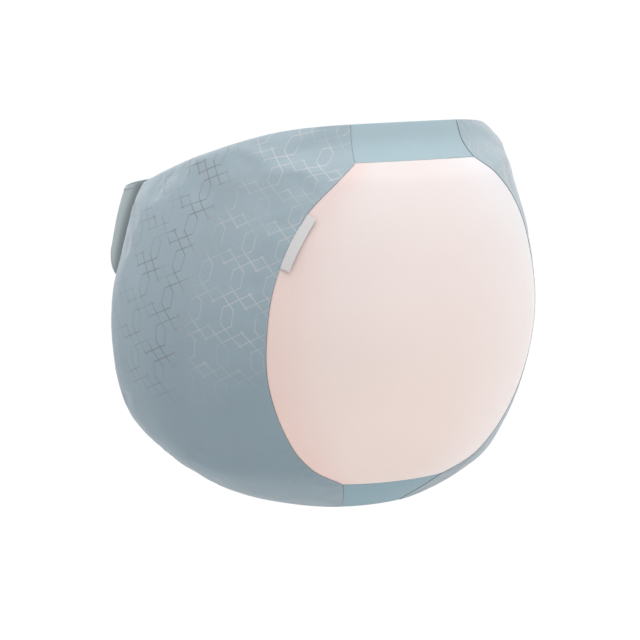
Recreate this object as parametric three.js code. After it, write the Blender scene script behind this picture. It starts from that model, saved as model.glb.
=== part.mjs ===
// Maternity support belt, in the form that it takes round a body late in pregnancy.
// Millimetres, +Z up. The wearer faces -Y, so the wearer's right side is -X.
// The origin is on the body's axis, halfway up the front of the belt.
import * as THREE from 'three';

// The body inside the belt
const BODY_HALF_WIDTH = 156.5;
const BELLY_DEPTH = 201.5;
const BACK_DEPTH = 140;
const FRONT_SQUARENESS = 2.3;
const BACK_SQUARENESS = 2.2;

// Heights: the whole belt at centre front, and the two tabs above and below the panel
const BELT_HEIGHT = 302;
const TOP_TAB_HEIGHT = 27.5;
const BOTTOM_TAB_HEIGHT = 25;

// How far round the body each piece reaches from centre front, in degrees. As worn, the seam on the
// left of the panel lies farther round than the one on the right, most of all at half height.
const PANEL_REACH = 39.3;
const LEFT_SEAM_BEYOND = 3;
const TOP_TAB_REACH = 18;
const BOTTOM_TAB_REACH = 14.8;
const WING_REACH = 96;

// Thicknesses
const PANEL_THICKNESS = 2.5;
const TAB_THICKNESS = 2.3;
const WING_SEAM_THICKNESS = 3;
const WING_PAD_THICKNESS = 14.7;
const STRAP_THICKNESS = 2;
const HOOK_THICKNESS = 1.2;
const LABEL_THICKNESS = 0.9;

// Where the padding of a wing swells and rounds off, as shares of the wing's length and height
const PAD_SWELL = 0.7;
const PAD_HEM_ROUNDING = 0.14;
const PAD_REAR_ROUNDING = 0.16;
const PAD_LEFT_AT_HEM = 0.15;
const PAD_LEFT_AT_REAR = 0.25;

// Straps: their widths, how far they sit below the wing's hem, and how they taper and overlap
const STRAP_ROOT_WIDTH = 75;
const STRAP_WIDTH = 48.5;
const STRAP_BELOW_HEM = 1;
const STRAP_DROP = 9;
const STRAP_TAPER_LENGTH = 76;
const STRAP_LAP = 12;
const CLOSURE_LAP = 80;
const CLOSURE_STEP_LENGTH = 22;
const HOOK_LENGTH = 60;
const HOOK_WIDTH = 40;

// Label sewn by its long edge into the panel's seam on the wearer's right
const LABEL_LENGTH = 42;
const LABEL_WIDTH = 8.5;
const LABEL_LIFT = 0.8;
const LABEL_START = 0.665;

const CLEARANCE = 0.3;

// Half width and front depth up the body: shares of BELT_HEIGHT, BODY_HALF_WIDTH and BELLY_DEPTH
const BODY_SECTIONS = [
  { up: 0, width: 0.53, front: 0.488 },
  { up: 0.06, width: 0.677, front: 0.625 },
  { up: 0.14, width: 0.816, front: 0.77 },
  { up: 0.3, width: 0.957, front: 0.907 },
  { up: 0.5, width: 1, front: 1 },
  { up: 0.7, width: 0.928, front: 1 },
  { up: 0.86, width: 0.829, front: 0.91 },
  { up: 0.94, width: 0.813, front: 0.78 },
  { up: 1, width: 0.751, front: 0.746 },
];

// Hems from centre front back to the wing's rear edge: shares of WING_REACH and BELT_HEIGHT
const HEMS = [
  { round: 0, top: 1, bottom: 0 },
  { round: 0.365, top: 0.983, bottom: 0.014 },
  { round: 0.677, top: 0.912, bottom: 0.055 },
  { round: 1, top: 0.826, bottom: 0.188 },
];

// Oval edge of the panel from its bottom corner to its top one: shares of its height and PANEL_REACH
const PANEL_EDGE = [
  { up: 0, reach: 0.483 },
  { up: 0.05, reach: 0.72 },
  { up: 0.14, reach: 0.88 },
  { up: 0.32, reach: 0.995 },
  { up: 0.5, reach: 1 },
  { up: 0.68, reach: 0.941 },
  { up: 0.86, reach: 0.771 },
  { up: 0.95, reach: 0.59 },
  { up: 1, reach: 0.463 },
];

// How finely each piece is divided
const PANEL_ROWS = 16;
const PANEL_COLUMNS = 16;
const TAB_ROW_SHARES = [0, 0.5, 0.84, 1];
const WING_COLUMNS = 12;
const WING_REAR_COLUMNS = 6;
const STRAP_ROWS = 4;
const STRAP_STEP = 6;

const HALF_TURN = 180;
const DEGREE = Math.PI / HALF_TURN;
const limit = (value) => Math.min(Math.max(value, 0), 1);
const mix = (start, end, share) => start + (end - start) * share;
const ease = (share) => limit(share) ** 2 * (3 - 2 * limit(share));
const roundOff = (share) => Math.sqrt(1 - (1 - limit(share)) ** 2);
const steps = (count) => Array.from({ length: count + 1 }, (_, step) => step / count);

// Value of one column of a table at a place in another, on a smooth curve through its rows
function readTable(table, placeColumn, valueColumn, place, levelAtStart = false) {
  const last = table.length - 1;
  const slopeAt = (row) => {
    if (levelAtStart && row === 0) return 0;
    const before = table[Math.max(row - 1, 0)];
    const after = table[Math.min(row + 1, last)];
    return (after[valueColumn] - before[valueColumn]) / (after[placeColumn] - before[placeColumn]);
  };
  const ends = [0, last].map((row) => table[row]);
  if (place < ends[0][placeColumn]) {
    return ends[0][valueColumn] + slopeAt(0) * (place - ends[0][placeColumn]);
  }
  if (place > ends[1][placeColumn]) {
    return ends[1][valueColumn] + slopeAt(last) * (place - ends[1][placeColumn]);
  }
  const next = Math.max(table.findIndex((row) => row[placeColumn] >= place), 1);
  const [start, end] = [table[next - 1], table[next]];
  const span = end[placeColumn] - start[placeColumn];
  const t = (place - start[placeColumn]) / span;
  return (2 * t ** 3 - 3 * t ** 2 + 1) * start[valueColumn]
    + (t ** 3 - 2 * t ** 2 + t) * span * slopeAt(next - 1)
    + (3 * t ** 2 - 2 * t ** 3) * end[valueColumn]
    + (t ** 3 - t ** 2) * span * slopeAt(next);
}

// Point at a turn round the body from centre front, a height, and a distance out from the body
function bodyPoint(turn, z, out) {
  const up = z / BELT_HEIGHT + 0.5;
  const side = Math.sin(turn * DEGREE);
  const ahead = Math.cos(turn * DEGREE);
  const halfWidth = BODY_HALF_WIDTH * readTable(BODY_SECTIONS, 'up', 'width', up);
  const frontDepth = BELLY_DEPTH * readTable(BODY_SECTIONS, 'up', 'front', up);
  const depth = ahead >= 0 ? frontDepth : BACK_DEPTH;
  const squareness = ahead >= 0 ? FRONT_SQUARENESS : BACK_SQUARENESS;
  const sum = (Math.abs(side) / halfWidth) ** squareness + (Math.abs(ahead) / depth) ** squareness;
  const radius = sum ** (-1 / squareness) + out;
  return new THREE.Vector3(radius * side, -radius * ahead, z);
}

// Height of a point that lies a share of the way up between the two hems
function hemHeight(turn, up) {
  const round = Math.abs(turn) / WING_REACH;
  const bottom = readTable(HEMS, 'round', 'bottom', round, true);
  const top = readTable(HEMS, 'round', 'top', round, true);
  return (mix(bottom, top, up) - 0.5) * BELT_HEIGHT;
}

const beltPoint = (turn, up, out) => bodyPoint(turn, hemHeight(turn, up), out);

// The panel's corners, as shares of the way up between the hems
const PANEL_BOTTOM = BOTTOM_TAB_HEIGHT / BELT_HEIGHT;
const PANEL_TOP = 1 - TOP_TAB_HEIGHT / BELT_HEIGHT;

// Turn of the seam where a wing meets the bottom tab, the panel or the top tab, on the side given
function seamTurn(up, side) {
  const corner = (row) => PANEL_REACH * PANEL_EDGE[row].reach;
  if (up < PANEL_BOTTOM) return mix(BOTTOM_TAB_REACH, corner(0), up / PANEL_BOTTOM);
  if (up > PANEL_TOP) {
    return mix(corner(PANEL_EDGE.length - 1), TOP_TAB_REACH, (up - PANEL_TOP) / (1 - PANEL_TOP));
  }
  const share = (up - PANEL_BOTTOM) / (PANEL_TOP - PANEL_BOTTOM);
  const beyond = side > 0 ? LEFT_SEAM_BEYOND * Math.sin(Math.PI * share) : 0;
  return PANEL_REACH * readTable(PANEL_EDGE, 'up', 'reach', share) + beyond;
}

// Half the clearance, as a turn that keeps its width where the seam runs at a slant
function seamGap(up, side) {
  const probe = 0.002;
  const below = beltPoint(seamTurn(up - probe, side), up - probe, 0);
  const above = beltPoint(seamTurn(up + probe, side), up + probe, 0);
  const rise = (above.z - below.z) / above.distanceTo(below);
  const here = beltPoint(seamTurn(up, side), up, 0);
  return CLEARANCE / 2 / rise / Math.hypot(here.x, here.y) / DEGREE;
}

// Rows that the panel, the tabs and the wings share, so that their edges match along the seams
const panelRows = steps(PANEL_ROWS).map((share) => {
  const crowded = (1 - Math.cos(Math.PI * share)) / 2;
  return mix(PANEL_BOTTOM, PANEL_TOP, (share + crowded) / 2);
});
const topTabRows = TAB_ROW_SHARES.map((share) => mix(PANEL_TOP, 1, share));
const bottomTabRows = TAB_ROW_SHARES.map((share) => mix(PANEL_BOTTOM, 0, share)).reverse();
const wingRows = [...bottomTabRows.slice(0, -1), ...panelRows, ...topTabRows.slice(1)];

// Closed solid between an outer and an inner face, each a grid of points, with walls round its edges
function thickPatch(columns, rows, outerPoint, innerPoint) {
  const points = [];
  for (const facePoint of [outerPoint, innerPoint]) {
    for (const column of columns) {
      for (const row of rows) points.push(facePoint(column, row));
    }
  }
  const lastColumn = columns.length - 1;
  const lastRow = rows.length - 1;
  const at = (face, column, row) => (face * columns.length + column) * rows.length + row;
  const triangles = [];
  const addQuad = (a, b, c, d) => triangles.push([a, b, c], [a, c, d]);
  for (let i = 0; i < lastColumn; i += 1) {
    for (let j = 0; j < lastRow; j += 1) {
      addQuad(at(0, i, j), at(0, i + 1, j), at(0, i + 1, j + 1), at(0, i, j + 1));
      addQuad(at(1, i, j), at(1, i, j + 1), at(1, i + 1, j + 1), at(1, i + 1, j));
    }
  }
  for (let i = 0; i < lastColumn; i += 1) {
    addQuad(at(1, i, 0), at(1, i + 1, 0), at(0, i + 1, 0), at(0, i, 0));
    addQuad(at(0, i, lastRow), at(0, i + 1, lastRow), at(1, i + 1, lastRow), at(1, i, lastRow));
  }
  for (let j = 0; j < lastRow; j += 1) {
    addQuad(at(0, 0, j), at(0, 0, j + 1), at(1, 0, j + 1), at(1, 0, j));
    addQuad(at(0, lastColumn, j + 1), at(0, lastColumn, j), at(1, lastColumn, j), at(1, lastColumn, j + 1));
  }
  return closedGeometry(points, triangles);
}

// Geometry of a closed surface, turned over where its faces point inwards
function closedGeometry(points, triangles) {
  const cross = new THREE.Vector3();
  const volume = triangles.reduce((sum, [a, b, c]) => {
    return sum + points[a].dot(cross.crossVectors(points[b], points[c]));
  }, 0);
  const facing = volume > 0 ? triangles : triangles.map(([a, b, c]) => [a, c, b]);
  const geometry = new THREE.BufferGeometry().setFromPoints(points);
  geometry.setIndex(facing.flat());
  geometry.computeVertexNormals();
  return geometry;
}

function addPiece(name, geometry, material) {
  const mesh = new THREE.Mesh(geometry, material);
  mesh.name = name;
  belt.add(mesh);
}

// Materials
const fabric = (color, roughness, metalness = 0) => (
  new THREE.MeshStandardMaterial({ color, roughness, metalness }));
const PANEL_JERSEY = fabric(0xf0e2dc, 0.75);
const WING_PRINT = fabric(0x92a3ac, 0.7, 0.05);
const TAB_ELASTIC = fabric(0xa8c2c9, 0.8);
const STRAP_ELASTIC = fabric(0x96a2a6, 0.85);
const HOOK_TAPE = fabric(0x7f8b90, 0.95);
const LABEL_TAPE = fabric(0xe6e3df, 0.7);

const belt = new THREE.Group();

// Front panel and the tabs above and below it: thin sheets that wrap the belly
function frontSheet(rows, thickness, gapBelow, gapAbove) {
  const pulledIn = rows.map((up, row) => {
    if (row === 0) return up + gapBelow;
    return row === rows.length - 1 ? up - gapAbove : up;
  });
  const across = steps(PANEL_COLUMNS).map((share) => 2 * share - 1);
  const pointAt = (out) => (side, up) => (
    beltPoint(side * (seamTurn(up, side) - seamGap(up, side)), up, out));
  return thickPatch(across, pulledIn, pointAt(thickness), pointAt(0));
}

const halfGap = CLEARANCE / 2 / BELT_HEIGHT;
addPiece('front_panel', frontSheet(panelRows, PANEL_THICKNESS, halfGap, halfGap), PANEL_JERSEY);
addPiece('top_tab', frontSheet(topTabRows, TAB_THICKNESS, halfGap, 0), TAB_ELASTIC);
addPiece('bottom_tab', frontSheet(bottomTabRows, TAB_THICKNESS, 0, halfGap), TAB_ELASTIC);

// Wings: padded, thin at the seam, thick and rounded at the rear, with a rebate there for the strap
const LAP_REACH = STRAP_LAP / BODY_HALF_WIDTH / DEGREE;
const REBATE_DEPTH = STRAP_THICKNESS + CLEARANCE;
const REBATE_END = WING_REACH - LAP_REACH - CLEARANCE / BODY_HALF_WIDTH / DEGREE;
const REBATE_START = REBATE_END - REBATE_DEPTH / BODY_HALF_WIDTH / DEGREE;

function wingThickness(along, up) {
  const swell = ease(along / PAD_SWELL);
  const atHem = mix(PAD_LEFT_AT_HEM, 1, roundOff(Math.min(up, 1 - up) / PAD_HEM_ROUNDING));
  const atRear = mix(PAD_LEFT_AT_REAR, 1, roundOff((1 - along) / PAD_REAR_ROUNDING));
  return mix(WING_SEAM_THICKNESS, WING_PAD_THICKNESS, swell * atHem * atRear);
}

function wing(side) {
  const frontColumns = steps(WING_COLUMNS).map((share) => ({ share, rebate: 0 }));
  const rearColumns = steps(WING_REAR_COLUMNS).map((share) => ({ share, rebate: REBATE_DEPTH }));
  const turnOf = (column, up) => {
    if (column.rebate > 0) return mix(REBATE_END, WING_REACH, Math.sin(column.share * Math.PI / 2));
    return mix(seamTurn(up, side) + seamGap(up, side), REBATE_START, column.share);
  };
  const outer = (column, up) => {
    const turn = turnOf(column, up);
    const along = (turn - seamTurn(up, side)) / (WING_REACH - seamTurn(up, side));
    return beltPoint(side * turn, up, wingThickness(along, up));
  };
  const inner = (column, up) => beltPoint(side * turnOf(column, up), up, column.rebate);
  return thickPatch([...frontColumns, ...rearColumns], wingRows, outer, inner);
}

addPiece('right_wing', wing(-1), WING_PRINT);
addPiece('left_wing', wing(1), WING_PRINT);

// Back straps: they start in the wings' rebates and overlap at centre back over a hook patch
const reachAtBack = (length) => length / BACK_DEPTH / DEGREE;
const STRAP_START = WING_REACH - LAP_REACH;
const STRAP_END = HALF_TURN + reachAtBack(CLOSURE_LAP / 2);
const STEP_END = HALF_TURN - reachAtBack(CLOSURE_LAP / 2 + STRAP_THICKNESS + CLEARANCE);
const STEP_START = STEP_END - reachAtBack(CLOSURE_STEP_LENGTH);
const STEP_HEIGHT = STRAP_THICKNESS + HOOK_THICKNESS + 2 * CLEARANCE;

function strapTaper(turn) {
  return ease((Math.abs(turn) - WING_REACH) * DEGREE * BODY_HALF_WIDTH / STRAP_TAPER_LENGTH);
}

function strapMiddle(turn) {
  const rootTop = hemHeight(WING_REACH, 1) - STRAP_BELOW_HEM;
  return mix(rootTop - STRAP_ROOT_WIDTH / 2, rootTop - STRAP_DROP - STRAP_WIDTH / 2, strapTaper(turn));
}

function strap(side, stepHeight) {
  const columns = steps(Math.ceil((STRAP_END - STRAP_START) / STRAP_STEP))
    .map((share) => mix(STRAP_START, STRAP_END, share));
  const rows = steps(STRAP_ROWS).map((share) => share - 0.5);
  const lift = (turn) => stepHeight * ease((turn - STEP_START) / (STEP_END - STEP_START));
  const pointAt = (out) => (turn, row) => {
    const width = mix(STRAP_ROOT_WIDTH, STRAP_WIDTH, strapTaper(turn));
    return bodyPoint(side * turn, strapMiddle(turn) + row * width, out + lift(turn));
  };
  return thickPatch(columns, rows, pointAt(STRAP_THICKNESS), pointAt(0));
}

addPiece('right_strap', strap(-1, 0), STRAP_ELASTIC);
addPiece('left_strap', strap(1, STEP_HEIGHT), STRAP_ELASTIC);

function hookPatch() {
  const columns = steps(6).map((share) => HALF_TURN + reachAtBack(HOOK_LENGTH) * (share - 0.5));
  const rows = steps(2).map((share) => share - 0.5);
  const pointAt = (out) => (turn, row) => bodyPoint(turn, strapMiddle(turn) + row * HOOK_WIDTH, out);
  const seat = STRAP_THICKNESS + CLEARANCE;
  return thickPatch(columns, rows, pointAt(seat + HOOK_THICKNESS), pointAt(seat));
}

addPiece('hook_patch', hookPatch(), HOOK_TAPE);

// Side label: a folded tape that lies on the panel beside its seam and lifts at its free edge
function sideLabel() {
  const seat = PANEL_THICKNESS + CLEARANCE;
  const seamPoint = (up) => beltPoint(-seamTurn(up, -1), up, seat);
  const rise = seamPoint(LABEL_START).distanceTo(seamPoint(LABEL_START + 0.01)) / 0.01;
  const rows = steps(4).map((share) => LABEL_START + share * LABEL_LENGTH / rise);
  const columns = steps(2);
  const pointAt = (out) => (across, up) => {
    const here = seamPoint(up);
    const along = seamPoint(up + 0.001).sub(seamPoint(up - 0.001)).normalize();
    const towardFront = beltPoint(1 - seamTurn(up, -1), up, seat).sub(here);
    const outward = new THREE.Vector3().crossVectors(towardFront, along).normalize();
    const inward = new THREE.Vector3().crossVectors(along, outward);
    const reach = CLEARANCE * 1.5 + across * LABEL_WIDTH;
    return here.addScaledVector(inward, reach).addScaledVector(outward, out + LABEL_LIFT * across ** 2);
  };
  return thickPatch(columns, rows, pointAt(LABEL_THICKNESS), pointAt(0));
}

addPiece('side_label', sideLabel(), LABEL_TAPE);

export default belt;
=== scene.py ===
"""Maternity support belt: jersey, padded wings, print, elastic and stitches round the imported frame."""

import math

import bpy
import numpy as np
from bpy.props import FloatProperty, FloatVectorProperty
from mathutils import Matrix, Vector


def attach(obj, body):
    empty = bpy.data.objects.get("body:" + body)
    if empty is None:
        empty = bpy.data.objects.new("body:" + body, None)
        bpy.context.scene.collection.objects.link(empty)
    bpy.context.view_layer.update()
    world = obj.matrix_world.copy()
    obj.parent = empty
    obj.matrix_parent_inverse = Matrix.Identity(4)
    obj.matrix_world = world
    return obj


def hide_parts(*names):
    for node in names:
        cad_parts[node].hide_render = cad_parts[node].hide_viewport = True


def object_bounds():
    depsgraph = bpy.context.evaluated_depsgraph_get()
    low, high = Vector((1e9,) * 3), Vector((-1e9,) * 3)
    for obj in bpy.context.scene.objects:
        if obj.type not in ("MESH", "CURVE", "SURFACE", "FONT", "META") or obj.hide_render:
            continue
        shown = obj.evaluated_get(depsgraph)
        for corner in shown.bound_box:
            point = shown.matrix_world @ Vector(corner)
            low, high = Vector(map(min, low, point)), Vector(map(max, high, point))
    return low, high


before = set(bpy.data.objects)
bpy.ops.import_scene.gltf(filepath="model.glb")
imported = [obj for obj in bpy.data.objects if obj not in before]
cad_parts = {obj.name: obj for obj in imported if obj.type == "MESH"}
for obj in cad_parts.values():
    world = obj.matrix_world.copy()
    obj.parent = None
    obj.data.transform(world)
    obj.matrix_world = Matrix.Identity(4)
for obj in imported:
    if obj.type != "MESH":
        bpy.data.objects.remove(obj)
CAD_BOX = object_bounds()

bl_info = {
    "name": "Maternity Support Belt",
    "version": (1, 0, 0),
    "blender": (4, 5, 0),
    "location": "View3D > Sidebar > Belt",
    "description": "Builds a maternity support belt in its worn form, with its cloth and its stage",
    "category": "Add Mesh",
}

MM = 0.001
BODY = "root"
HALF_TURN = 180.0

# How far round the body each piece reaches from centre front, in degrees. As worn, the seam on the
# left of the panel lies farther round than the one on the right, most of all at half height.
PANEL_REACH = 39.3
LEFT_SEAM_BEYOND = 3.0
TOP_TAB_REACH = 18.0
BOTTOM_TAB_REACH = 14.8
WING_REACH = 96.0

# Where the padding of a wing swells and rounds off, as shares of the wing's length and height
PAD_SWELL = 0.7
PAD_HEM_ROUNDING = 0.14
PAD_REAR_ROUNDING = 0.16
PAD_LEFT_AT_HEM = 0.15
PAD_LEFT_AT_REAR = 0.25

# Straps: how far they start under the wing and sit below its hem, how they taper and overlap
STRAP_LAP = 12 * MM
STRAP_BELOW_HEM = 1 * MM
STRAP_TAPER_LENGTH = 76 * MM
CLOSURE_LAP = 80 * MM
CLOSURE_STEP_LENGTH = 22 * MM
HOOK_LENGTH = 60 * MM
HOOK_WIDTH = 40 * MM

# Straps bulge out behind the wings and cup towards their edges. Rise and fall are in degrees.
STRAP_BULGE = 1.5 * MM
STRAP_CUPPING = 0.7 * MM
BULGE_RISE = 14
BULGE_FALL_START = 125
BULGE_FALL = 30

# Folded tape of the label: where it starts up the seam, the room each layer takes, the thickness of
# its cloth, how it lifts at its fold, and how far and how many times it sways there
LABEL_START = 0.665
LABEL_TAPE = 0.3 * MM
LABEL_CLOTH = 0.26 * MM
LABEL_LIFT = 1.1 * MM
LABEL_SWAY = 0.25 * MM
LABEL_SWAYS = 1.1

# How far the edges of each cloth roll over
FRONT_ROLL = 0.7 * MM
WING_ROLL = 1.1 * MM
STRAP_ROLL = 0.6 * MM
HOOK_ROLL = 0.3 * MM
LABEL_ROLL = 0.05 * MM

# Half width and front depth up the body: up, width, front
BODY_SECTIONS = np.array([
    (0, 0.53, 0.488),
    (0.06, 0.677, 0.625),
    (0.14, 0.816, 0.77),
    (0.3, 0.957, 0.907),
    (0.5, 1, 1),
    (0.7, 0.928, 1),
    (0.86, 0.829, 0.91),
    (0.94, 0.813, 0.78),
    (1, 0.751, 0.746),
])

# Hems from centre front back to the wing's rear edge: round, top, bottom
HEMS = np.array([
    (0, 1, 0),
    (0.365, 0.983, 0.014),
    (0.677, 0.912, 0.055),
    (1, 0.826, 0.188),
])

# Oval edge of the panel from its bottom corner to its top one: up, reach
PANEL_EDGE = np.array([
    (0, 0.483),
    (0.05, 0.72),
    (0.14, 0.88),
    (0.32, 0.995),
    (0.5, 1),
    (0.68, 0.941),
    (0.86, 0.771),
    (0.95, 0.59),
    (1, 0.463),
])

# Soft folds of a wing: along and up as shares, slant in degrees, then length, width and height in mm.
# The shares are of a wing's rough length and height, and the folds fade out near its edges.
WING_FOLD_SPAN = (190, 260)
FOLD_FADE_ALONG = 0.05
FOLD_FADE_UP = 0.03
WING_FOLDS = (
    (0.33, 0.955, 22, 26, 3.6, 1.6),
    (0.20, 0.940, -12, 30, 3.6, -1.7),
    (0.17, 0.900, 6, 36, 4.4, 1.4),
    (0.42, 0.900, 18, 46, 6.0, 0.9),
    (0.10, 0.860, 32, 32, 4.4, -0.9),
    (0.72, 0.930, 16, 36, 6.0, 0.5),
    (0.20, 0.130, -24, 40, 8.0, 0.5),
    (0.55, 0.100, -30, 52, 9.0, 0.6),
)


def length_property(name, description, default):
    return FloatProperty(name=name, description=description, default=default, unit="LENGTH")


class BeltSizes(bpy.types.PropertyGroup):
    """Driving sizes of the belt and of the body in it."""

    body_half_width: length_property("Body half width", "Half the body's widest width", 0.1565)
    belly_depth: length_property("Belly depth", "From the axis to the belly's fullest point", 0.2015)
    back_depth: length_property("Back depth", "From the axis to the small of the back", 0.14)
    front_squareness: FloatProperty(
        name="Front squareness", description="2 is an ellipse, more is squarer", default=2.3)
    back_squareness: FloatProperty(
        name="Back squareness", description="2 is an ellipse, more is squarer", default=2.2)
    belt_height: length_property(
        "Belt height", "From hem to hem at centre front", CAD_BOX[1].z - CAD_BOX[0].z)
    top_tab_height: length_property("Top tab height", "Insert above the panel", 0.0275)
    bottom_tab_height: length_property("Bottom tab height", "Insert below the panel", 0.025)
    panel_thickness: length_property("Panel thickness", "Jersey over its lining", 0.0025)
    tab_thickness: length_property("Tab thickness", "Elastic insert", 0.0023)
    seam_thickness: length_property("Seam thickness", "A wing where it meets the panel", 0.003)
    pad_thickness: length_property("Pad thickness", "A wing where its padding is fullest", 0.0147)
    strap_thickness: length_property("Strap thickness", "Woven elastic at the back", 0.002)
    strap_root_width: length_property("Strap root width", "At the wing's rear edge", 0.075)
    strap_width: length_property("Strap width", "At centre back", 0.0485)
    strap_drop: length_property("Strap drop", "Fall of its top edge from wing to back", 0.009)
    hook_thickness: length_property("Hook thickness", "Patch between the strap ends", 0.0012)
    clearance: length_property("Clearance", "Gap between pieces that meet", 0.0003)
    label_length: length_property("Label length", "Along the seam", 0.042)
    label_width: length_property("Label width", "From the seam to the fold", 0.0085)


def colour_property(name, description, default):
    return FloatVectorProperty(
        name=name, description=description, default=(*default, 1.0), size=4, subtype="COLOR",
        min=0.0, max=1.0)


class BeltColours(bpy.types.PropertyGroup):
    """Cloth and print colours, linear."""

    panel: colour_property("Panel", "Pale pink jersey", (0.745, 0.64, 0.6))
    wing: colour_property("Wing", "Blue-grey cloth", (0.235, 0.302, 0.342))
    tab: colour_property("Tab", "Cyan-blue elastic", (0.3, 0.392, 0.43))
    strap: colour_property("Strap", "Grey-green elastic", (0.18, 0.235, 0.255))
    hook: colour_property("Hook tape", "Dark grey tape", (0.12, 0.145, 0.155))
    label: colour_property("Label", "Off-white satin tape", (0.54, 0.53, 0.53))
    # The two foil colours are lit and shaded copies of one foil: a painted reflection towards the panel
    # and painted shade towards the rear
    print_painted_reflection: colour_property("Light print", "Foil towards the panel", (0.52, 0.49, 0.49))
    print_painted_shade: colour_property("Dark print", "Foil towards the rear", (0.12, 0.085, 0.08))


def sizes():
    return bpy.context.scene.belt_sizes


def colours():
    return bpy.context.scene.belt_colours


# Shape of the worn belt

def steps(count):
    return np.linspace(0.0, 1.0, count + 1)


def ease(share):
    share = np.clip(share, 0.0, 1.0)
    return share * share * (3.0 - 2.0 * share)


def round_off(share):
    share = np.clip(share, 0.0, 1.0)
    return np.sqrt(1.0 - (1.0 - share) ** 2)


def mix(start, end, share):
    return start + (end - start) * share


def read_table(table, column, place, level_at_start=False):
    """Value of a column at a place in the first one, on a smooth curve through the rows."""
    places, values = table[:, 0], table[:, column]
    slopes = np.gradient(values)
    slopes[1:-1] = (values[2:] - values[:-2]) / (places[2:] - places[:-2])
    slopes[0] = 0.0 if level_at_start else (values[1] - values[0]) / (places[1] - places[0])
    slopes[-1] = (values[-1] - values[-2]) / (places[-1] - places[-2])
    place = np.asarray(place, float)
    inside = np.clip(place, places[0], places[-1])
    row = np.clip(np.searchsorted(places, inside, side="right") - 1, 0, len(places) - 2)
    span = places[row + 1] - places[row]
    t = (inside - places[row]) / span
    curve = (
        (2 * t ** 3 - 3 * t ** 2 + 1) * values[row]
        + (t ** 3 - 2 * t ** 2 + t) * span * slopes[row]
        + (3 * t ** 2 - 2 * t ** 3) * values[row + 1]
        + (t ** 3 - t ** 2) * span * slopes[row + 1]
    )
    beyond = np.where(place > places[-1], slopes[-1], slopes[0]) * (place - inside)
    return curve + beyond


def body_point(turn, z, out):
    """Points at a turn in degrees from centre front, a height, and a distance out of the body."""
    belt = sizes()
    turn, z = np.broadcast_arrays(np.asarray(turn, float), np.asarray(z, float))
    up = z / belt.belt_height + 0.5
    side, ahead = np.sin(np.radians(turn)), np.cos(np.radians(turn))
    half_width = belt.body_half_width * read_table(BODY_SECTIONS, 1, up)
    front_depth = belt.belly_depth * read_table(BODY_SECTIONS, 2, up)
    depth = np.where(ahead >= 0, front_depth, belt.back_depth)
    squareness = np.where(ahead >= 0, belt.front_squareness, belt.back_squareness)
    total = (np.abs(side) / half_width) ** squareness + (np.abs(ahead) / depth) ** squareness
    radius = total ** (-1.0 / squareness) + out
    return np.stack([radius * side, -radius * ahead, z + 0.0 * radius], axis=-1)


def hem_height(turn, up):
    """Height of a point that lies a share of the way up between the two hems."""
    around = np.abs(turn) / WING_REACH
    bottom = read_table(HEMS, 2, around, True)
    top = read_table(HEMS, 1, around, True)
    return (mix(bottom, top, up) - 0.5) * sizes().belt_height


def belt_point(turn, up, out):
    return body_point(turn, hem_height(turn, up), out)


def panel_ends():
    """The panel's bottom and top corners, as shares of the way up between the hems."""
    belt = sizes()
    return belt.bottom_tab_height / belt.belt_height, 1 - belt.top_tab_height / belt.belt_height


def seam_turn(up, side):
    """Turn of the seam where a wing meets the bottom tab, the panel or the top tab, on that side."""
    bottom, top = panel_ends()
    low_corner, high_corner = PANEL_REACH * PANEL_EDGE[[0, -1], 1]
    share = np.clip((up - bottom) / (top - bottom), 0, 1)
    beyond = np.where(np.asarray(side) > 0, LEFT_SEAM_BEYOND * np.sin(np.pi * share), 0.0)
    middle = PANEL_REACH * read_table(PANEL_EDGE, 1, share) + beyond
    below = mix(BOTTOM_TAB_REACH, low_corner, up / bottom)
    above = mix(high_corner, TOP_TAB_REACH, (up - top) / (1 - top))
    return np.where(up < bottom, below, np.where(up > top, above, middle))


def seam_gap(up, side):
    """A third of the clearance, as a turn that keeps its width where the seam runs at a slant."""
    probe = 0.002
    low, high = (belt_point(seam_turn(up + d, side), up + d, 0.0) for d in (-probe, probe))
    rise = (high - low)[..., 2] / np.linalg.norm(high - low, axis=-1)
    radius = np.linalg.norm(belt_point(seam_turn(up, side), up, 0.0)[..., :2], axis=-1)
    return np.degrees(sizes().clearance / 3 / rise / radius)


def wing_thickness(along, up):
    belt = sizes()
    swell = ease(along / PAD_SWELL)
    at_hem = mix(PAD_LEFT_AT_HEM, 1.0, round_off(np.minimum(up, 1 - up) / PAD_HEM_ROUNDING))
    at_rear = mix(PAD_LEFT_AT_REAR, 1.0, round_off((1 - along) / PAD_REAR_ROUNDING))
    return mix(belt.seam_thickness, belt.pad_thickness, swell * at_hem * at_rear)


def strap_taper(turn):
    arc = np.radians(np.abs(turn) - WING_REACH) * sizes().body_half_width
    return ease(arc / STRAP_TAPER_LENGTH)


def strap_middle(turn):
    belt = sizes()
    root_top = hem_height(WING_REACH, 1.0) - STRAP_BELOW_HEM
    root = root_top - belt.strap_root_width / 2
    return mix(root, root_top - belt.strap_drop - belt.strap_width / 2, strap_taper(turn))


def strap_width_at(turn):
    return mix(sizes().strap_root_width, sizes().strap_width, strap_taper(turn))


def turn_at_back(length):
    return math.degrees(length / sizes().back_depth)


# Meshes

def arc_lengths(points, axis):
    """Distance along each row or column of a grid of points, from its first point."""
    gaps = np.linalg.norm(np.diff(points, axis=axis), axis=-1)
    return np.concatenate([np.zeros_like(np.take(gaps, [0], axis)), np.cumsum(gaps, axis)], axis)


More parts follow.
